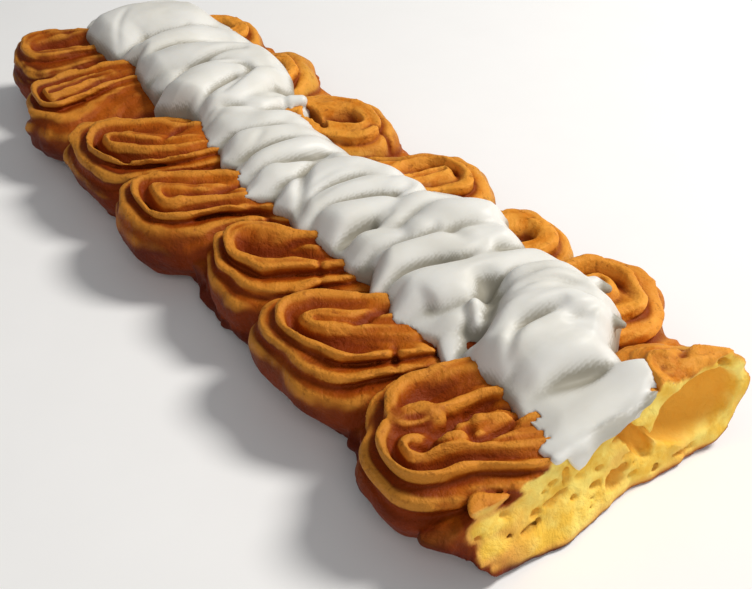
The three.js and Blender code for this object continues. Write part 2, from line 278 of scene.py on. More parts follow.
def swirl_plan(swirl, side, x, y, warp):
    """Where the plan points lie by one swirl: the distance to its line, the share along it, how far they are
    on the near side, 0 to 1, and how far the middle of the line is from them along the strip."""
    line = bend_line(swirl["line"], 13)
    plan_x, plan_y = np.meshgrid(x, side * y, indexing="ij")
    plan_x = plan_x + warp[0]
    plan_y = plan_y + warp[1]
    outer_y = line[0][1]
    tail_y = line[-1][1]
    widest = max(swirl["near"], swirl["far"])
    narrowing = (swirl["reach"] - outer_y) / widest
    tip_y = np.where(plan_y > outer_y, outer_y + (plan_y - outer_y) / narrowing, plan_y)
    tip_y = np.where(plan_y < tail_y, tail_y + (plan_y - tail_y) * TAIL_SHORTENING, tip_y)
    distance, share, turned = nearest_on_line(line, plan_x, tip_y)
    nearness = soft_step(-0.8, 0.8, turned)
    return distance, share, nearness, line[6][0] - plan_x


def swirl_body(swirl, side, distance, nearness, beyond_middle, z):
    """One swirl without its ridges: the distance to its skin, how high each point is, from -1 at the foot to
    1 at the top, how far it is over the skin from the top, and how far it is on the side that leads."""
    radius = swirl["far"] + (swirl["near"] - swirl["far"]) * nearness
    leading = nearness if side < 0 else 1 - nearness
    tilt = SWIRL_TILT if side < 0 else 0.0
    middle = SWIRL_MIDDLE_HEIGHT + tilt * beyond_middle[:, :, None]
    upper = SWIRL_TOP + swirl["rise"] - SWIRL_MIDDLE_HEIGHT
    lower = SWIRL_MIDDLE_HEIGHT - 0.5
    up = z[None, None, :] - middle
    up = np.where(up > 0, up / upper, up / lower)
    out = (distance / radius)[:, :, None] * (1 + UNDER_TUCK * np.clip(-up, 0, 1.2) ** 2)
    power = (2.5 - 0.4 * leading)[:, :, None]
    size = np.maximum((out**power + np.abs(up) ** power) ** (1 / power), 1e-3)
    sideways = out ** (power - 1) / radius[:, :, None]
    upwards = np.abs(up) ** (power - 1) / np.where(up > 0, upper, lower)
    slope = size ** (1 - power) * np.hypot(sideways, upwards)
    field = np.clip((size - 1) / np.maximum(slope, 0.02), -14, 14)
    turn = np.arctan2(out ** (power / 2), np.sign(up) * np.abs(up) ** (power / 2))
    mean_radius = (swirl["near"] + swirl["far"]) / 2
    turns, lengths = profile_lengths(mean_radius, upper, lower, 2.3)
    travelled = np.interp(turn, turns, lengths).astype(np.float32)
    travelled = travelled * (radius / mean_radius)[:, :, None] ** 0.7
    return field, up, travelled, leading


def swirl_relief(swirl, side, distance, share, nearness, leading, up, travelled, unevenness):
    """The ridges and the pocket of one swirl: how deep they are pressed, how dark they are marked, partly
    real and partly painted shade, and where the dough is stretched smooth."""
    gathered = (1 - 0.36 * soft_step(0.1, 1, share))[:, :, None]
    pitch = RIDGE_PITCH * gathered
    ring = swirl["ring"] * gathered
    flat_distance = distance[:, :, None]
    groove = ridge_depth(travelled, ring, pitch)
    on_top = soft_step(-0.1, 0.25, up)
    if swirl["tongue"]:
        pocket_middle = ring - 0.52 * pitch
        pocket_width = 2.3
        shallow_side = 0.4
        inner = 0.6 * np.exp(-((flat_distance / 1.2) ** 2)) * soft_step(1.0, 0.2, share)[:, :, None]
    else:
        pocket_middle = 0.0
        pocket_width = 3.2
        shallow_side = 1.0
        inner = 0.0
    fading = 1 - 0.7 * soft_step(0.15, 0.8, share)
    strength = ((shallow_side + (1 - shallow_side) * leading) * fading)[:, :, None]
    pocket = np.exp(-(np.abs((flat_distance - pocket_middle) / pocket_width) ** 2.4)) * strength * on_top
    outside = soft_step(-0.15, 0.15, (travelled - ring) / pitch)
    groove = groove * outside + inner * (1 - outside) * on_top
    smoothing = soft_step(swirl["ridged"] - 1, swirl["ridged"] + 4, travelled)
    smooth_side = nearness if side < 0 else np.ones_like(nearness)
    stretched = smoothing * soft_step(0.4, 0.85, smooth_side)[:, :, None]
    vigour = (swirl["depth"] * (1 + 0.45 * unevenness) * (1 - 0.35 * soft_step(0.5, 1, share)))[:, :, None]
    weaker = (1 - 0.8 * stretched) * (1 - 0.45 * soft_step(26, 38, travelled)) * vigour
    drag = np.sin(travelled * (2 * np.pi / DRAG_PITCH) + 5 * unevenness[:, :, None]) * (1 - stretched)
    rim = FIRST_RIDGE_RISE * np.exp(-(((travelled - ring) / 2.6) ** 2)) * on_top
    depth = RIDGE_DEPTH * groove * weaker + POCKET_DEPTH * pocket - rim + DRAG_DEPTH * drag
    # Painted shade, in part: grooves and pockets are marked dark.
    dark = np.maximum(groove * weaker, np.minimum(pocket * 1.25, 1)) + 0.1 * drag
    patch = stretched * soft_step(swirl["ridged"] + 16, swirl["ridged"] + 6, travelled)
    return depth, dark, patch * soft_step(0.9, 0.5, share)[:, :, None]


def swirl_field(swirl, side, x, y, z, warp):
    """One swirl: the distance to its skin, how deep each point lies in a groove or pocket, and how much the
    dough is stretched smooth there."""
    distance, share, nearness, beyond_middle = swirl_plan(swirl, side, x, y, warp)
    field, up, travelled, leading = swirl_body(swirl, side, distance, nearness, beyond_middle, z)
    depth, dark, patch = swirl_relief(
        swirl, side, distance, share, nearness, leading, up, travelled, warp[2]
    )
    return field + depth, dark, patch


def slab_field(x, y, z):
    """Distance to the dough under the swirls: a flat-based slab with bulging sides and a rounded far end."""
    from_end = x - FAR_END_X
    narrowing = np.sqrt(1 - np.clip(1 - (from_end + 3) / 29, 0, 1) ** 2)
    half_left = SLAB_HALF_WIDTH + 3 - 4 * np.exp(-(((x - SLAB_NOTCH_X) / 9) ** 2))
    half_right = SLAB_HALF_WIDTH + (CUT_END_HALF_WIDTH - SLAB_HALF_WIDTH) * soft_step(-22, -6, x)
    half = np.where(y[None, :] < 0, half_left[:, None], half_right[:, None])
    half = (half * np.maximum(narrowing, 0.05)[:, None])[:, :, None]
    tucked = soft_step(-30, -8, x)[:, None, None] * soft_step(13, 1, z)[None, None, :]
    half = half * (1 - CUT_TUCK * tucked)
    middle = 9.5
    across = np.abs(y)[None, :, None] / half
    up = np.abs(z - middle)[None, None, :] / np.where(z > middle, SLAB_HEIGHT - middle, middle)[None, None, :]
    power = np.where(z > middle, 3.5, 5.0)[None, None, :]
    size = (across**power + up**power) ** (1 / power)
    field = (size - 1) * 8.5
    return np.maximum(field, (FAR_END_X - x)[:, None, None])


def seam_field(x, y, z):
    middle = SEAM_MIDDLE_Y + np.sin(x / 31)
    across = np.abs(y[None, :, None] - middle[:, None, None]) - SEAM_HALF_WIDTH
    up = (z - SEAM_TOP)[None, None, :] + 0.02 * across**2 * (across > 0)
    ends = np.maximum(FAR_END_X + 10 - x, 0)[:, None, None]
    return soft_max(across, up, 3) + ends


def bubble_field(x, y, z, across, height, half, turn, warp):
    off_y = (y - across)[None, :, None]
    off_z = (z - height)[None, None, :]
    long_way = off_y * math.cos(turn) + off_z * math.sin(turn)
    short_way = off_z * math.cos(turn) - off_y * math.sin(turn)
    along = x[:, None, None]
    inside = np.sqrt((along / half[0]) ** 2 + (long_way / half[1]) ** 2 + (short_way / half[2]) ** 2)
    return (inside - 1) * min(half) + warp


def small_bubbles(count, seed):
    """Small bubbles that the cut opened in the crumb, as (x, y, z, half sizes)."""
    random = np.random.default_rng(seed)
    found = []
    while len(found) < count:
        y = random.uniform(-42, 30)
        z = random.uniform(2.5, 20)
        top = 12 + 0.24 * (y + 44)
        if z < top and not (y > 7 and z > 6):
            wide = random.uniform(0.8, 2.0)
            found.append((random.uniform(-1.5, 1.0), y, z, (2.0, wide, wide * random.uniform(0.45, 0.8))))
    return found


def press_creases(x, y, z, skin, groove):
    """Presses the creases into the top of the dough."""
    plan_x, plan_y = np.meshgrid(x, y, indexing="ij")
    on_top = soft_step(13, 18, z)[None, None, :]
    for points, half, deep in DOUGH_CREASES:
        distance, share, _ = nearest_on_line(smooth_line(points, 4), plan_x, plan_y)
        near = distance.min(axis=1) < 4 * half
        pressed = np.exp(-((distance[near] / half) ** 2)) * (0.4 + 0.6 * np.sin(np.pi * share[near]))
        skin[near] += (deep * pressed)[:, :, None] * on_top
        # Painted shade, in part: the creases are marked dark as well.
        groove[near] = np.maximum(groove[near], 1.1 * pressed[:, :, None] * on_top)


def tear_open(x, y, z, skin, groove):
    """Opens the torn crust: a ragged hollow whose walls are painted dark as shade."""
    (at_x, at_y, at_z), half, turn = TORN_OPENING
    from_x = (x - at_x)[:, None, None]
    from_y = (y - at_y)[None, :, None]
    ragged = 0.9 * smooth_noise((x, y, z), 3.5, 27)
    along = from_x * math.cos(turn) + from_y * math.sin(turn)
    across = from_y * math.cos(turn) - from_x * math.sin(turn) + 0.4 * ragged
    up = (z - at_z)[None, None, :]
    inside = np.sqrt((along / half[0]) ** 2 + (across / half[1]) ** 2 + (up / half[2]) ** 2)
    opening = (inside - 1) * half[1]
    # Painted shade inside the torn hollow.
    groove[:] = np.maximum(groove, 1.3 * soft_step(0.6, -0.4, opening))
    return soft_max(skin, -opening, 0.4)


def dough_fields():
    """The whole dough on one grid: its skin before the cut, its skin after it, the grooves and the smooth
    stretched places."""
    x, y, z = grid_axes(DOUGH_BOX, DOUGH_VOXEL)
    whole = soft_min(slab_field(x, y, z), seam_field(x, y, z), 4)
    groove = np.zeros(whole.shape, np.float32)
    stretched = np.zeros(whole.shape, np.float32)
    warp_x = 2.4 * smooth_noise((x, y), 16, 5) + 1.0 * smooth_noise((x, y), 6.5, 6)
    warp_y = 2.0 * smooth_noise((x, y), 16, 7) + 1.0 * smooth_noise((x, y), 6.5, 8)
    vigour = smooth_noise((x, y), 13, 9)
    for side, swirls in ((-1, LEFT_SWIRLS), (1, RIGHT_SWIRLS)):
        for values in swirls:
            swirl = dict(zip(SWIRL_VALUES, values))
            ends = [point[0] for point in swirl["line"]]
            low_x = min(ends) - swirl["far"] - SWIRL_MARGIN
            high_x = max(ends) + swirl["near"] + SWIRL_MARGIN
            rows = slice(*np.searchsorted(x, (low_x, high_x)))
            reach = swirl["reach"] + SWIRL_MARGIN
            across = (-reach, SWIRL_MARGIN) if side < 0 else (-SWIRL_MARGIN, reach)
            columns = slice(*np.searchsorted(y, across))
            part = (rows, columns)
            warp = (warp_x[part], side * warp_y[part], vigour[part])
            skin, dark, smooth = swirl_field(swirl, side, x[rows], y[columns], z, warp)
            closer = skin < whole[part]
            # Painted shade: where one swirl meets the next, the join is marked dark.
            joint = np.exp(-(((skin - whole[part]) / 1.8) ** 2))
            groove[part] = np.maximum(np.where(closer, dark, groove[part]), joint)
            stretched[part] = np.where(closer, smooth, stretched[part])
            whole[part] = soft_min(whole[part], skin, JOIN_SOFTNESS)
    press_creases(x, y, z, whole, groove)
    lumps = smooth_noise((x, y, z), 9, 11) * 0.6 + smooth_noise((x, y, z), 4, 12) * 0.4
    whole = whole + lumps + smooth_noise((x, y, z), 2.2, 13) * 0.32
    whole = tear_open(x, y, z, whole, groove)
    whole = soft_max(whole, (BASE_CLEARANCE - z)[None, None, :], 0.8)

    torn = 0.5 * smooth_noise((y, z), 5, 21) + 0.35 * smooth_noise((y, z), 2.2, 22)
    foot = CUT_FOOT * soft_step(8, -18, y)[:, None] * soft_step(15, 0, z)[None, :]
    cut = soft_max(whole, x[:, None, None] - (torn + foot)[None, :, :] - 0.2, 0.6)
    near = slice(int(np.searchsorted(x, -20)), len(x))
    warp = smooth_noise((x[near], y, z), 5, 23) * 0.9 + smooth_noise((x[near], y, z), 2.4, 24) * 0.35
    for across, height, half, turn in BUBBLES:
        bubble = bubble_field(x[near], y, z, across, height, half, turn, warp * min(1, min(half) / 3))
        cut[near] = soft_max(cut[near], -bubble, 0.5)
    for at_x, at_y, at_z, half in small_bubbles(SMALL_BUBBLES, SMALL_BUBBLE_SEED):
        bubble = bubble_field(x[near] - at_x, y, z, at_y, at_z, half, 0, 0)
        cut[near] = soft_max(cut[near], -bubble, 0.3)
    return (x, y, z), whole, cut, groove, stretched


def blurred(values, reach):
    """Values of a grid, each evened out with those up to the reach away."""
    for axis in range(values.ndim):
        room = [(reach + 1, reach) if number == axis else (0, 0) for number in range(values.ndim)]
        for _ in range(2):
            padded = np.pad(values, room, mode="edge")
            sums = np.moveaxis(np.cumsum(padded, axis=axis, dtype=np.float64), axis, 0)
            evened = (sums[2 * reach + 1 :] - sums[: -2 * reach - 1]) / (2 * reach + 1)
            values = np.moveaxis(evened, 0, axis)
    return values


def crests_of(whole):
    """How far each place of the dough stands on a crest, above 0, or lies in a groove, below 0."""
    capped = np.clip(whole, -4, 4)
    return (blurred(capped, 2) - capped) / 0.35 + 0.8 * (blurred(capped, 5) - capped)


def skin_of(axes, field, step):
    """The skin of a field as points in strip millimetres and four-cornered faces."""
    grid = openvdb.FloatGrid(3.0)
    grid.copyFromArray(np.ascontiguousarray(field, np.float32))
    grid.transform = openvdb.createLinearTransform(voxelSize=step)
    points, faces = grid.convertToQuads(isovalue=0.0)
    points = points + np.array([axis[0] for axis in axes], np.float32)
    return points, faces


def sample(axes, values, points):
    """Values of a grid at points between its places."""
    step = axes[0][1] - axes[0][0]
    place = [(points[:, i] - axes[i][0]) / step for i in range(3)]
    low = [np.clip(np.floor(p).astype(int), 0, len(axes[i]) - 2) for i, p in enumerate(place)]
    share = [np.clip(place[i] - low[i], 0, 1) for i in range(3)]
    result = np.zeros(len(points), np.float32)
    for corner in range(8):
        steps = (corner & 1, corner >> 1 & 1, corner >> 2 & 1)
        weight = np.ones(len(points))
        for i in range(3):
            weight = weight * (share[i] if steps[i] else 1 - share[i])
        result += weight * values[low[0] + steps[0], low[1] + steps[1], low[2] + steps[2]]
    return result


def sample_plan(axes, values, points):
    """Values of a plan grid at the nearest place to each point."""
    step = axes[0][1] - axes[0][0]
    rows = np.clip(np.round((points[:, 0] - axes[0][0]) / step).astype(int), 0, len(axes[0]) - 1)
    columns = np.clip(np.round((points[:, 1] - axes[1][0]) / step).astype(int), 0, len(axes[1]) - 1)
    return values[rows, columns]


def to_part(points):
    """Strip millimetres to the part's frame in metres."""
    shifted = points + np.array([CUT_PLANE_X, MIDDLE_LINE_OFFSET, 0.0])
    return shifted * MM


def add_object(name, data):
    added = bpy.data.objects.new(name, data)
    bpy.context.collection.objects.link(added)
    return added


def make_piece(name, points, faces, attributes, material):
    mesh = bpy.data.meshes.new(name)
    places = to_part(points)
    mesh.vertices.add(len(places))
    mesh.vertices.foreach_set("co", places.astype(np.float32).ravel())
    corners = np.asarray(faces, np.int32)
    mesh.loops.add(corners.size)
    mesh.loops.foreach_set("vertex_index", corners.ravel())
    mesh.polygons.add(len(corners))
    mesh.polygons.foreach_set("loop_start", np.arange(0, corners.size, corners.shape[1], dtype=np.int32))
    mesh.update(calc_edges=True)
    mesh.validate()
    mesh.shade_smooth()
    for label, values in attributes.items():
        layer = mesh.attributes.new(label, "FLOAT", "POINT")
        layer.data.foreach_set("value", np.asarray(values, np.float32))
    mesh.materials.append(material)
    return add_object(name, mesh)


# Cream: every fold is a line of points (along, across, height of its crest), its half widths to the far and
# to the near side, and how deep it falls to its edge. The folds were piped across the strip one after the
# other and slumped into each other.
CREAM_FOLDS = [
    (((-293, -6, 27), (-289, 6, 29), (-287, 18, 28), (-286, 26, 26)), 9, 10, 7),
    (((-286, -17, 24.5), (-277, -15, 26.5), (-265, -15, 26), (-258, -15, 25)), 5, 5, 5),
    (((-270, -15, 31), (-274, -5, 33.5), (-272, 6, 34), (-263, 19, 32), (-258, 27, 27)), 16, 14, 8),
    (((-247, -15, 31), (-247, -4, 33.5), (-248, 10, 33), (-243, 24, 29)), 8, 9, 6),
    (((-234, -12, 32), (-230, -1, 34.5), (-224, 9, 35), (-214, 19, 34), (-205, 24, 31)), 11, 9, 7),
    (((-219, -13, 30), (-226, 10, 31), (-230, 26, 27)), 9, 9, 7),
    (((-200, -16, 33), (-205, -7, 35), (-209, 3, 35), (-207, 13, 33.5)), 11, 10, 8),
    (((-190, -14, 30), (-190, -5, 33.5), (-194, 6, 34.5), (-199, 15, 34), (-197, 23, 30)), 7, 9, 8),
    (((-241, -14, 25.5), (-230, -16, 26), (-220, -16, 25)), 4, 4, 4),
    (((-211, -20, 25.5), (-205, -17, 27), (-199, -14, 27)), 4, 4, 4),
    (((-182, -4, 31.5), (-183, 6, 31.5), (-184, 14, 30), (-181, 18, 27)), 7, 6, 6),
    (((-176, -17, 27), (-177, -8, 30.5), (-173, 2, 31), (-165, 12, 29.5)), 8, 8, 6),
    (((-164, -18, 27), (-164, -8, 31), (-160, 3, 30.5), (-156, 14, 28)), 6, 6, 5),
    (((-152, -20, 26), (-151, -12, 30), (-149, -2, 31), (-149, 8, 30), (-146, 15, 27)), 6, 5, 5),
    (((-140, -22, 26), (-141, -14, 29.5), (-139, -6, 29), (-138, 3, 28)), 6, 6, 5),
    (((-137, 10, 29.5), (-132, 16, 28)), 6, 6, 5),
    (((-124, -14, 29), (-128, -4, 31.5), (-127, 6, 32.5), (-120, 14, 31)), 8, 8, 6),
    (((-115, -16, 28), (-117, -4, 31), (-115, 6, 31.5), (-110, 12, 31)), 6, 6, 5),
    (((-110, 10, 31), (-111, 15, 31), (-106, 16, 30.5), (-103, 10, 30.5)), 3, 3, 4),
    (((-104, -18, 28), (-106, -9, 32), (-103, 1, 32), (-99, 6, 31)), 7, 5, 6),
    (((-90, -16, 28), (-91, -8, 31), (-87, -1, 31.5)), 7, 5, 5),
    (((-95, 2, 32), (-96, 10, 33), (-94, 17, 32), (-93, 28, 28)), 7, 6, 6),
    (((-86, 6, 34), (-87, 16, 35.5), (-82, 24, 34), (-76, 28, 29)), 8, 9, 8),
    (((-73, 14, 34), (-71, 22, 33), (-68, 27, 29)), 8, 7, 7),
    (((-77, -18, 28), (-80, -9, 32), (-77, 3, 33.5), (-70, 11, 33)), 7, 7, 6),
    (((-64, -20, 27), (-67, -10, 31.5), (-63, -1, 33), (-60, 9, 33), (-57, 22, 31), (-55, 31, 27)), 8, 10, 7),
    (((-55, -18, 26), (-52, -10, 28), (-52, -3, 29)), 7, 5, 4),
    (((-49, -1, 34), (-49, 8, 37), (-45, 17, 36), (-40, 24, 32)), 5, 6, 7),
    (((-43, -3, 35), (-43, 7, 38), (-39, 15, 37.5), (-32, 21, 35), (-28, 24, 31)), 6, 6, 7),
    (((-35, -10, 34), (-37, 0, 38), (-34, 9, 38.5), (-26, 15, 37), (-21, 19, 32)), 6, 6, 7),
    (((-27, -15, 31), (-30, -8, 35.5), (-29, 0, 36.5), (-28, 8, 36.5), (-20, 14, 34)), 7, 6, 7),
    (((-21, -12, 29), (-23, -3, 33.5), (-22, 6, 34.5), (-18, 12, 32)), 6, 7, 7),
    (((-17, -13, 27), (-15, -5, 28.5), (-14, 5, 28.5), (-12, 13, 29)), 7, 7, 3),
    (((-8, -16, 26), (-7, -7, 28), (-7, 3, 29.5), (-7, 11, 31.5), (-6, 18, 32)), 8, 7, 4),
    (((-2, -16, 24.5), (-1, -8, 26), (-1, 0, 27), (-2, 7, 28.5)), 5, 4, 3),
]

# Creases in the cream: a line (along, across), a half width and a depth.
CREAM_CREASES = [
    (((-210, -15), (-217, -7), (-220, 2), (-220, 12), (-217, 19)), 1.5, 2.6),
    (((-211, 4), (-208, 12), (-202, 12), (-197, 6), (-190, -5)), 1.4, 2.2),
    (((-250, -11), (-253, 3), (-257, 15)), 1.4, 1.6),
    (((-258, -15), (-270, -9), (-279, -1)), 1.2, 0.8),
    (((-242, -12), (-240, 2), (-236, 20)), 1.3, 1.2),
    (((-183, 9), (-187, 16)), 1.1, 1.2),
    (((-186, -17), (-187, -9), (-183, -2), (-179, 4)), 1.3, 1.6),
    (((-163, -22), (-159, -13), (-163, -3)), 1.1, 1.2),
    (((-144, -8), (-144, 3)), 1.1, 1.2),
    (((-118, -17), (-127, -10), (-135, -4), (-142, 5)), 2.0, 2.4),
    (((-121, -11), (-122, 0), (-118, 11)), 0.8, 1.0),
    (((-118, -12), (-119, -1), (-116, 8)), 0.7, 0.8),
    (((-125, -9), (-126, 1), (-122, 11)), 0.7, 0.8),
    (((-99, -18), (-98, -11), (-97, -4), (-97, 3)), 1.2, 1.8),
    (((-84, -18), (-84, -8), (-81, 2), (-82, 8)), 1.2, 1.6),
    (((-73, -18), (-73, -8), (-70, 0), (-67, 6), (-68, 14)), 1.2, 1.8),
    (((-60, 5), (-53, 3), (-47, -1), (-41, -8), (-36, -16), (-32, -23)), 3.2, 5.6),
    (((-57, 6), (-52, 3), (-48, 0)), 4.5, 2.2),
    (((-48, 2), (-48, 8), (-45, 15)), 0.9, 1.4),
    (((-43, 0), (-42, 8), (-38, 15), (-33, 19)), 1.0, 1.8),
    (((-26, -12), (-31, -5), (-32, 3), (-31, 10)), 1.3, 2.6),
    (((-27, 5), (-26, 12), (-26, 19)), 1.1, 1.8),
    (((-17, -14), (-15, -6), (-14.5, 4), (-14, 11)), 3.0, 1.6),
]

# The borders of the cream on the dough: along and across.
CREAM_BORDER_LEFT = [
    (-299, -10), (-293, -15), (-285, -18), (-275, -18), (-264, -17), (-251, -16), (-246, -13), (-241, -16),
    (-230, -18), (-221, -18), (-215, -17), (-211, -22), (-203, -20), (-198, -16), (-190, -15), (-184, -17),
    (-175, -19), (-170, -17), (-163, -20), (-157, -17), (-152, -22), (-145, -20), (-140, -24), (-133, -17),
    (-129, -20), (-122, -18), (-114, -20), (-105, -18), (-96, -17), (-89, -18), (-82, -15), (-75, -20),
    (-68, -18), (-63, -21), (-57, -19), (-49, -16), (-40, -20), (-34, -18), (-27, -16), (-20, -15),
    (-14, -16), (-8, -17), (-4, -20), (4, -19),
]
CREAM_BORDER_RIGHT = [
    (-299, 20), (-292, 28), (-284, 31), (-270, 29), (-255, 31), (-235, 31), (-222, 31), (-212, 30),
    (-200, 27), (-190, 22), (-184, 19), (-178, 21), (-172, 17), (-164, 16), (-156, 16), (-147, 16),
    (-139, 16), (-127, 20), (-118, 24), (-112, 24), (-102, 30), (-93, 34), (-84, 34), (-78, 29), (-70, 28),
    (-66, 27), (-62, 31), (-54, 33), (-46, 29), (-40, 31), (-33, 27), (-29, 28), (-24, 21), (-18, 15),
    (-13, 15), (-9, 20), (-4, 20), (-1, 14), (2, 8), (4, 6),
]

# The height of the cream's edge, how far in from its border and from the cut it takes to rise, the height of
# its lowest middle, how high its wrinkles are, how soft the joins of its folds are, and its gap to the dough.
CREAM_FOOT = 23.8
CREAM_EDGE_WIDTH = 8.0
CREAM_FRONT_WIDTH = 2.5
CREAM_BED = 26.0
CREAM_WRINKLE = 0.8
FOLD_SOFTNESS = 0.9
CREAM_GAP = 0.25


def fold_height(points, far_half, near_half, fall, x, y):
    """How high one fold of cream stands: rounded over its crest, steeper where its near half is narrow."""
    line = smooth_line(points)
    distance, share, turned = nearest_on_line(line[:, :2], x, y)
    crest = np.interp(share * (len(line) - 1), np.arange(len(line)), line[:, 2])
    facing_near = soft_step(-0.7, 0.7, -turned)
    half = far_half + (near_half - far_half) * facing_near
    out = distance / half
    rounded = 1 - np.sqrt(np.clip(1 - np.minimum(out, 0.97) ** 2, 0, 1))
    return crest - fall * rounded - 2.5 * fall * np.maximum(out - 0.97, 0)


def cream_height(x, y):
    """How high the cream stands over each plan point, and how far inside its border the point lies."""
    plan_x, plan_y = np.meshgrid(x, y, indexing="ij")
    warp_x = 1.3 * smooth_noise((x, y), 12, 41) + 0.4 * smooth_noise((x, y), 5, 42)
    warp_y = 1.3 * smooth_noise((x, y), 12, 43) + 0.4 * smooth_noise((x, y), 5, 44)
    warped_x = plan_x + warp_x
    warped_y = plan_y + warp_y
    height = np.full(plan_x.shape, CREAM_BED, np.float64)
    for points, far_half, near_half, fall in CREAM_FOLDS:
        fold = fold_height(points, far_half, near_half, fall, warped_x, warped_y)
        height = soft_max(height, fold, FOLD_SOFTNESS)
    for points, half, deep in CREAM_CREASES:
        distance, share, _ = nearest_on_line(smooth_line(points, 4), plan_x + 0.4 * warp_x, plan_y)
        ends = np.sqrt(np.clip(np.sin(np.pi * share), 0, 1))
        height -= deep * np.exp(-((distance / half) ** 2)) * ends
    wrinkles = np.sqrt(smooth_noise((x, 0.3 * y), 4.2, 45) ** 2 + 0.03)
    height += CREAM_WRINKLE * (wrinkles - 0.5) * soft_step(-0.6, 0.7, smooth_noise((x, y), 14, 48))
    height = blurred(height, 1)
    left = np.interp(x, *np.array(CREAM_BORDER_LEFT, float).T)[:, None] + 0.4 * warp_y
    right = np.interp(x, *np.array(CREAM_BORDER_RIGHT, float).T)[:, None] + 0.4 * warp_y
    inside = soft_min(plan_y - left, right - plan_y, 2)
    inside = soft_min(inside, (plan_x - x[0] - 4) + 1.5 * warp_x, 3)
    ragged = 0.9 + 0.6 * smooth_noise((y,), 5.5, 46) + 0.3 * smooth_noise((y,), 2.4, 47)
    edge = np.clip(inside / CREAM_EDGE_WIDTH, 0, 1)
    rising = 0.12 + 0.88 * np.sin(edge * np.pi / 2) ** 0.8
    from_front = ragged[None, :] - plan_x
    rising = rising * (0.55 + 0.45 * np.clip(from_front / CREAM_FRONT_WIDTH, 0, 1) ** 0.5)
    inside = soft_min(inside, from_front, 1)
    return CREAM_FOOT + (height - CREAM_FOOT) * rising, inside


def drop_field(x, y, z, start, end, radius, end_radius):
    """Distance to a blob of cream that runs from start to end."""
    leg = np.array(end, float) - np.array(start, float)
    length = np.dot(leg, leg)
    off = (x[:, None, None] - start[0], y[None, :, None] - start[1], z[None, None, :] - start[2])
    share = np.clip((off[0] * leg[0] + off[1] * leg[1] + off[2] * leg[2]) / length, 0, 1)
    distance = np.sqrt(sum((off[i] - share * leg[i]) ** 2 for i in range(3)))
    return distance - radius - (end_radius - radius) * share


# Blobs of cream that stand out from its border: start, end, and the radius at each.
CREAM_DROPS = [
    ((-2, 13, 29.0), (0.2, 15.5, 29.6), 1.6, 0.6),
    ((-40, 27, 29), (-38, 30.0, 27.5), 2.2, 1.2),
    ((-26, 19, 30), (-23, 21.5, 29), 2.2, 1.0),
    ((-181, 16, 27), (-179.5, 19.0, 27.2), 2.6, 2.2),
]

# The flap of cream that hangs over the cut: its lower edge as across and height, the middle of its sheet and
# half its thickness, its upper edge's height, how steeply that rises and where it is measured, and the middle
# and half of its width.
FLAP_EDGE = [
    (-21.5, 27), (-19, 23.6), (-17.5, 22.8), (-15.5, 23.0), (-13.7, 19.5), (-12.3, 17.6), (-10.6, 18.6),
    (-8.5, 21.0), (-4, 22.6), (0, 23.8), (3, 25.6), (7, 27.2), (11, 28.6), (15, 30.5),
]
FLAP_MIDDLE = 0.5
FLAP_HALF = 1.3
FLAP_TOP = 26.3
FLAP_RISE = 0.16
FLAP_TOP_Y = -12
FLAP_MIDDLE_Y = -3
FLAP_HALF_WIDTH = 17.5


def flap_field(x, y, z):
    """Distance to the ragged flap of cream over the cut."""
    lower = np.interp(y, *np.array(FLAP_EDGE, float).T) + 0.4 * smooth_noise((y,), 2.2, 51)
    half = FLAP_HALF + 0.35 * smooth_noise((y, z), 4, 52)
    out = np.abs(x - FLAP_MIDDLE)[:, None, None] - half[None, :, :]
    below = (lower[:, None] - z[None, :])[None, :, :]
    above = (z[None, :] - FLAP_TOP - FLAP_RISE * (y - FLAP_TOP_Y)[:, None])[None, :, :]
    beyond = np.abs(y - FLAP_MIDDLE_Y) - FLAP_HALF_WIDTH
    return soft_max(soft_max(out, below, 1.6), soft_max(above, beyond[None, :, None], 1.0), 1.6)


def cream_field(dough_axes, whole_dough, cut_dough):
    """Distance to the skin of the cream, which rests on the dough and hangs a little over its cut."""
    x, y, z = grid_axes(CREAM_BOX, CREAM_VOXEL)
    height, inside = cream_height(x, y)
    slope_x, slope_y = np.gradient(height, CREAM_VOXEL)
    steep = np.sqrt(1 + slope_x**2 + slope_y**2)
    field = (z[None, None, :] - height[:, :, None]) / np.minimum(steep, 5)[:, :, None]
    field = soft_max(field, np.clip(-inside, -3, 6)[:, :, None], 1.2)
    places = np.stack(np.meshgrid(x, y, z, indexing="ij"), -1).reshape(-1, 3)
    over_whole = sample(dough_axes, whole_dough, places).reshape(field.shape)
    field = np.maximum(field, -(over_whole + CREAM_GAP))
    for start, end, radius, end_radius in CREAM_DROPS:
        field = soft_min(field, drop_field(x, y, z, start, end, radius, end_radius), 1.4)
    field = soft_min(field, flap_field(x, y, z), 1.6)
    over_cut = sample(dough_axes, cut_dough, places).reshape(field.shape)
    behind_cut = (x < 0)[:, None, None]
    under = np.where(behind_cut, np.minimum(over_whole, over_cut), over_cut)
    field = np.maximum(field, -(under + CREAM_GAP))
    return (x, y, z), field, valley_shade_of(height)


def valley_shade_of(height):
    """How deep each plan point of the cream lies in a narrow or a wide hollow, 0 to about 1: how much painted
    shade greys the cream there.
    """
    narrow = blurred(height, 3) - height
    wide = blurred(height, 10) - height
    return blurred(np.clip(narrow / 0.7, 0, 1) * 0.5 + np.clip(wide / 2.2, 0, 1) * 0.6, 1)


def attribute(tree, label):
    node = tree.nodes.new("ShaderNodeAttribute")
    node.attribute_name = label
    return node.outputs["Fac"]


def feed(tree, node, values):
    """Links or sets the inputs of a node, each by its name or number."""
    for name, value in values.items():
        if hasattr(value, "is_linked"):
            tree.links.new(value, node.inputs[name])
        else:
            node.inputs[name].default_value = value


def link_mix(tree, factor, first, second):
    """A colour mixed from two sockets or colours, by a socket or a number."""
    node = tree.nodes.new("ShaderNodeMix")
    node.data_type = "RGBA"
    feed(tree, node, {0: factor, 6: first, 7: second})
    return node.outputs[2]


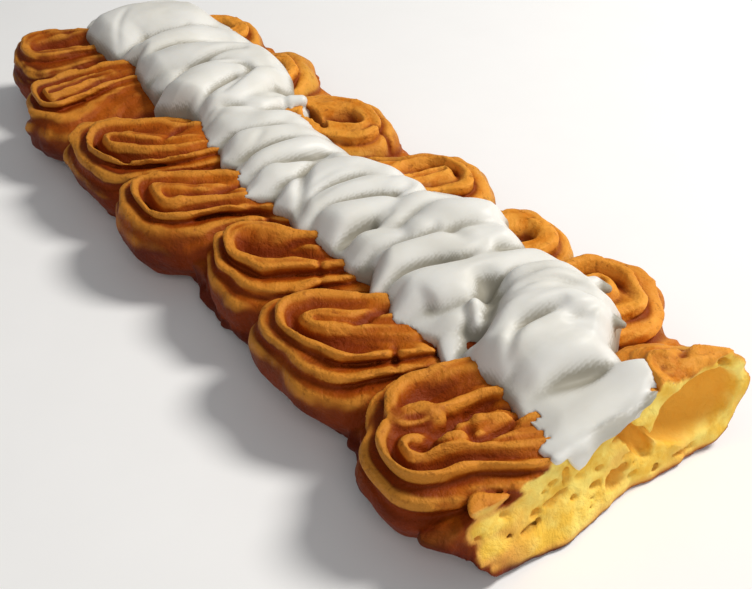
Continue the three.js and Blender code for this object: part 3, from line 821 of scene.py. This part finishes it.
def link_math(tree, operation, first, second=0.0, third=0.0):
    node = tree.nodes.new("ShaderNodeMath")
    node.operation = operation
    feed(tree, node, {0: first, 1: second, 2: third})
    return node.outputs[0]


def link_range(tree, value, low, high, to_low=0.0, to_high=1.0):
    node = tree.nodes.new("ShaderNodeMapRange")
    node.interpolation_type = "SMOOTHSTEP"
    feed(tree, node, {"Value": value, "From Min": low, "From Max": high, "To Min": to_low, "To Max": to_high})
    return node.outputs["Result"]


def link_noise(tree, place, scale, detail=3.0, roughness=0.55, distortion=0.0):
    node = tree.nodes.new("ShaderNodeTexNoise")
    feed(tree, node, {"Vector": place, "Scale": scale, "Detail": detail})
    feed(tree, node, {"Roughness": roughness, "Distortion": distortion})
    return node.outputs["Fac"]


def link_cell_edges(tree, place, scale):
    """How far a place is from the edges of a random network of cells."""
    node = tree.nodes.new("ShaderNodeTexVoronoi")
    node.feature = "DISTANCE_TO_EDGE"
    feed(tree, node, {"Vector": place, "Scale": scale})
    return node.outputs["Distance"]


def link_bent_place(tree, place, scale, amount):
    """A place shifted by noise, by up to the amount in metres in each direction."""
    node = tree.nodes.new("ShaderNodeTexNoise")
    feed(tree, node, {"Vector": place, "Scale": scale})
    scaled = tree.nodes.new("ShaderNodeVectorMath")
    scaled.operation = "SCALE"
    feed(tree, scaled, {0: node.outputs["Color"], "Scale": amount})
    bent = tree.nodes.new("ShaderNodeVectorMath")
    bent.operation = "ADD"
    feed(tree, bent, {0: place, 1: scaled.outputs[0]})
    return bent.outputs[0]


def link_bump(tree, height, strength, distance):
    node = tree.nodes.new("ShaderNodeBump")
    feed(tree, node, {"Height": height, "Strength": strength, "Distance": distance})
    return node.outputs["Normal"]


def new_material(name):
    material = bpy.data.materials.new(name)
    material.use_nodes = True
    tree = material.node_tree
    shader = tree.nodes["Principled BSDF"]
    place = tree.nodes.new("ShaderNodeTexCoord").outputs["Object"]
    return material, tree, shader, place


def crust_cracks(tree, place, patches):
    """A faint network of cracks that shows in patches, 0 to 1."""
    bent = link_bent_place(tree, place, 160, 0.006)
    cracks = link_range(tree, link_cell_edges(tree, bent, 170), 0.0, 0.09, 1.0, 0.0)
    return link_math(tree, "MULTIPLY", cracks, link_range(tree, patches, 0.45, 0.62))


def crust_colour(tree, patches, blotches, speckle, cracked):
    """Golden on the crests, partly painted highlight, and where the dough is stretched; browner lower down
    and on the left, and red-brown in the grooves, partly painted shade.
    """
    groove = attribute(tree, "groove")
    crest = attribute(tree, "crest")
    stretched = attribute(tree, "stretched")
    browning_and_shade = attribute(tree, "browning_and_shade")
    light_spots = link_range(tree, blotches, 0.36, 0.64)
    golden = link_mix(tree, light_spots, linear(206, 118, 20), linear(240, 166, 66))
    pale = link_mix(tree, stretched, golden, linear(214, 156, 62))
    shade = link_math(tree, "MULTIPLY_ADD", patches, 0.9, -0.45)
    mottled = link_math(tree, "MULTIPLY_ADD", blotches, 0.5, -0.25)
    # Real browned colour and painted shade of the low and left sides, with random patches and mottling.
    browned_and_shaded = link_math(tree, "ADD", link_math(tree, "ADD", browning_and_shade, shade), mottled)
    brown = link_mix(tree, link_range(tree, browned_and_shaded, 0.15, 0.75), pale, linear(172, 84, 10))
    darker = link_mix(tree, link_range(tree, browned_and_shaded, 0.6, 1.2), brown, linear(88, 24, 1))
    # Painted highlight, in part: the crests are made lighter golden.
    lit = link_mix(tree, link_range(tree, crest, 0.2, 2.2, 0.0, 0.55), darker, linear(240, 164, 62))
    # Painted shade, in part: grooves, pockets, creases and joins are made darker red-brown.
    sunk = link_math(tree, "MULTIPLY_ADD", crest, -0.2, groove)
    uneven = link_math(tree, "MULTIPLY_ADD", blotches, 0.9, -0.45)
    deep = link_math(tree, "ADD", link_math(tree, "MULTIPLY_ADD", cracked, 0.12, sunk), uneven)
    grooved = link_mix(tree, link_range(tree, deep, 0.1, 1.1, 0.0, 0.92), lit, linear(126, 46, 2))
    specks = link_range(tree, speckle, 0.54, 0.72, 0.0, 0.5)
    return link_mix(tree, specks, grooved, linear(112, 46, 4))


def crumb_colour(tree, place):
    """Yellow crumb, tan beside the crust, and more orange inside the bubbles."""
    rind = attribute(tree, "rind")
    hollow = attribute(tree, "hollow")
    grain = link_range(tree, link_noise(tree, place, 120, 4, 0.6), 0.35, 0.65)
    tint = link_range(tree, link_noise(tree, place, 60, 2, 0.5), 0.5, 0.7, 0.0, 0.6)
    yellow = link_mix(tree, grain, linear(244, 194, 72), linear(255, 230, 122))
    tinted = link_mix(tree, tint, yellow, linear(232, 168, 66))
    rinded = link_mix(tree, link_math(tree, "MULTIPLY", rind, 0.8), tinted, linear(226, 156, 76))
    return link_mix(tree, link_range(tree, hollow, 0.0, 1.0), rinded, linear(246, 190, 78))


def dough_material():
    """Baked choux: golden ridges, partly painted highlight, red-brown grooves and dark brown lower sides,
    partly painted shade, and yellow crumb in the cut.
    """
    material, tree, shader, place = new_material("baked_choux")
    crumb = attribute(tree, "crumb")
    patches = link_noise(tree, place, 38, 3, 0.55)
    blotches = link_noise(tree, place, 110, 5, 0.65, 0.4)
    speckle = link_noise(tree, place, 420, 4, 0.7)
    cracked = crust_cracks(tree, place, patches)
    crust = crust_colour(tree, patches, blotches, speckle, cracked)
    surface = link_mix(tree, crumb, crust, crumb_colour(tree, place))
    gloss = link_range(tree, crumb, 0.2, 0.8, 0.52, 0.7)
    rough = link_math(tree, "ADD", gloss, link_math(tree, "MULTIPLY_ADD", speckle, 0.3, -0.12))
    feed(tree, shader, {"Base Color": surface, "Roughness": rough, "Specular IOR Level": 0.12})

    wrinkles = link_noise(tree, place, 190, 5, 0.65, 0.5)
    grain = link_noise(tree, place, 900, 3, 0.6)
    relief = link_math(tree, "MULTIPLY_ADD", grain, 0.25, wrinkles)
    relief = link_math(tree, "MULTIPLY_ADD", cracked, -0.08, relief)
    feed(tree, shader, {"Normal": link_bump(tree, relief, 0.75, 0.0013)})
    return material


def cream_material():
    """Whipped cream: white, soft and slightly moist, with faint drag lines, and painted grey shade in its
    hollows.
    """
    material, tree, shader, place = new_material("whipped_cream")
    shade = link_noise(tree, place, 60, 3, 0.5)
    white = link_mix(tree, link_range(tree, shade, 0.35, 0.7), linear(230, 229, 224), linear(221, 219, 211))
    # Painted shade: the cream is greyed where it lies deep in a hollow, as if shade fell there.
    valley_shade = link_range(tree, attribute(tree, "valley_shade"), 0.0, 0.8)
    shaded = link_mix(tree, valley_shade, white, linear(158, 153, 139))
    rough = link_range(tree, shade, 0.3, 0.7, 0.42, 0.52)
    feed(tree, shader, {"Base Color": shaded, "Roughness": rough, "Specular IOR Level": 0.3})
    feed(tree, shader, {"Subsurface Weight": 0.18, "Subsurface Radius": (0.004, 0.0035, 0.003)})
    feed(tree, shader, {"Subsurface Scale": 0.7})
    stretch = tree.nodes.new("ShaderNodeMapping")
    feed(tree, stretch, {"Vector": place, "Scale": (1.0, 0.25, 1.0)})
    drag = link_noise(tree, stretch.outputs["Vector"], 230, 3, 0.5)
    feed(tree, shader, {"Normal": link_bump(tree, drag, 0.25, 0.0006)})
    return material


def floor_material():
    material, tree, shader, place = new_material("pale_floor")
    grain = link_noise(tree, place, 40, 3, 0.5)
    pale = link_mix(tree, grain, linear(246, 246, 246), linear(250, 250, 250))
    feed(tree, shader, {"Base Color": pale, "Roughness": 0.9})
    return material


def browning_and_shade_of(points):
    """How brown the crust is painted: more at the low outer sides, partly real and partly painted shade, and
    more on the left, the side turned away from the light, as painted shade that grows towards the far end.
    """
    sideways = soft_step(36, 56, np.abs(points[:, 1] - 0.5))
    # Partly painted shade: the low sides are made browner.
    low = soft_step(19, 5, points[:, 2])
    # Painted shade: the left side, turned away from the light, is made browner, more so towards the far end.
    left_shade = 0.42 + 0.2 * soft_step(-150, -290, points[:, 0])
    return 0.25 + 0.55 * low + 0.3 * sideways + np.where(points[:, 1] < 0, left_shade, 0.05)


def make_pastry():
    axes, whole, cut, groove, stretched = dough_fields()
    points, faces = skin_of(axes, cut, DOUGH_VOXEL)
    depth = -sample(axes, whole, points)
    crumb = soft_step(0.55, 1.5, depth)
    beside_crust = np.maximum(soft_step(-22, -34, points[:, 1]), soft_step(4, 1, points[:, 2]))
    attributes = {
        # Painted light: grooves on the right row, the lit side, are marked lighter.
        "groove": sample(axes, groove, points) * np.where(points[:, 1] < 0, 1, 0.7),
        "crest": sample(axes, crests_of(whole), points) * soft_step(8, 19, points[:, 2]),
        "rind": soft_step(4.5, 1.0, depth) * beside_crust,
        "stretched": sample(axes, stretched, points),
        "browning_and_shade": browning_and_shade_of(points),
        "crumb": crumb,
        "hollow": soft_step(0.6, 5.0, -points[:, 0]) * crumb,
    }
    pastry = make_piece("choux_strip", points, faces, attributes, dough_material())
    return pastry, axes, whole, cut


def make_cream(dough_axes, whole_dough, cut_dough):
    axes, field, valley_shade = cream_field(dough_axes, whole_dough, cut_dough)
    points, faces = skin_of(axes, field, CREAM_VOXEL)
    # How deep each hollow lies, carried to the shader as the amount of painted shade.
    attributes = {"valley_shade": sample_plan(axes, valley_shade, points)}
    return make_piece("whipped_cream", points, faces, attributes, cream_material())


FLOOR_HALF = 6.0


def make_floor():
    half = FLOOR_HALF
    mesh = bpy.data.meshes.new("floor")
    corners = [(-half, -half, 0), (half, -half, 0), (half, half, 0), (-half, half, 0)]
    mesh.from_pydata(corners, [], [(0, 1, 2, 3)])
    mesh.materials.append(floor_material())
    return add_object("floor", mesh)


# The camera was solved from the strip's repeats. Its target is in strip millimetres.
CAMERA_AZIMUTH = 59.49
CAMERA_ELEVATION = 35.89
CAMERA_ROLL = -2.99
CAMERA_DISTANCE = 326.87
CAMERA_TARGET = (-85.55, -11.09, 15.0)
FOCAL_PIXELS = 1180.3
PHOTO_WIDTH = 752
SENSOR_WIDTH = 36.0
CLIP_START = 0.01


def make_camera():
    azimuth = math.radians(CAMERA_AZIMUTH)
    elevation = math.radians(CAMERA_ELEVATION)
    level = math.cos(elevation)
    back = Vector((math.sin(azimuth) * level, -math.cos(azimuth) * level, math.sin(elevation)))
    right = Vector((math.cos(azimuth), math.sin(azimuth), 0))
    up = back.cross(right)
    roll = math.radians(CAMERA_ROLL)
    rolled_right = right * math.cos(roll) + up * math.sin(roll)
    rolled_up = up * math.cos(roll) - right * math.sin(roll)
    target = Vector(to_part(np.array([CAMERA_TARGET]))[0])
    place = target + back * CAMERA_DISTANCE * MM
    turned = Matrix((rolled_right, rolled_up, back)).transposed().to_4x4()
    data = bpy.data.cameras.new("camera")
    data.sensor_fit = "HORIZONTAL"
    data.sensor_width = SENSOR_WIDTH
    data.lens = FOCAL_PIXELS / PHOTO_WIDTH * SENSOR_WIDTH
    data.clip_start = CLIP_START
    camera = add_object("camera", data)
    camera.matrix_world = Matrix.Translation(place) @ turned
    bpy.context.scene.camera = camera


# Each light: its place, how wide it is, its power in watts, and its colour. All aim at the strip's middle.
WINDOW = ((0.26, 0.66, 0.78), 0.34, 9.8, (1.0, 0.97, 0.92))
ROOM = ((1.1, -0.5, 0.9), 1.0, 5.0, (1.0, 0.98, 0.95))
SKY_COLOUR = (0.95, 0.97, 1.0, 1.0)
SKY_STRENGTH = 0.2


def make_light(name, place, size, power, colour):
    data = bpy.data.lights.new(name, "AREA")
    data.shape = "DISK"
    data.size = size
    data.energy = power
    data.color = colour
    light = add_object(name, data)
    light.location = place
    light.rotation_euler = (-Vector(place)).to_track_quat("-Z", "Y").to_euler()


def make_lights():
    """The window light falls from above on the right, and the room fills the shadows softly."""
    make_light("window", *WINDOW)
    make_light("room", *ROOM)
    world = bpy.data.worlds.new("room")
    world.use_nodes = True
    background = world.node_tree.nodes["Background"]
    background.inputs["Color"].default_value = SKY_COLOUR
    background.inputs["Strength"].default_value = SKY_STRENGTH
    bpy.context.scene.world = world
    bpy.context.scene.view_settings.view_transform = "Standard"


pastry, dough_axes, whole_dough, cut_dough = make_pastry()
cream = make_cream(dough_axes, whole_dough, cut_dough)
for piece, node, slot in ((pastry, "pastry", "choux_crust"), (cream, "cream", "whipped_cream")):
    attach(piece, "root")
    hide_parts(node)

make_floor()
make_camera()
make_lights()
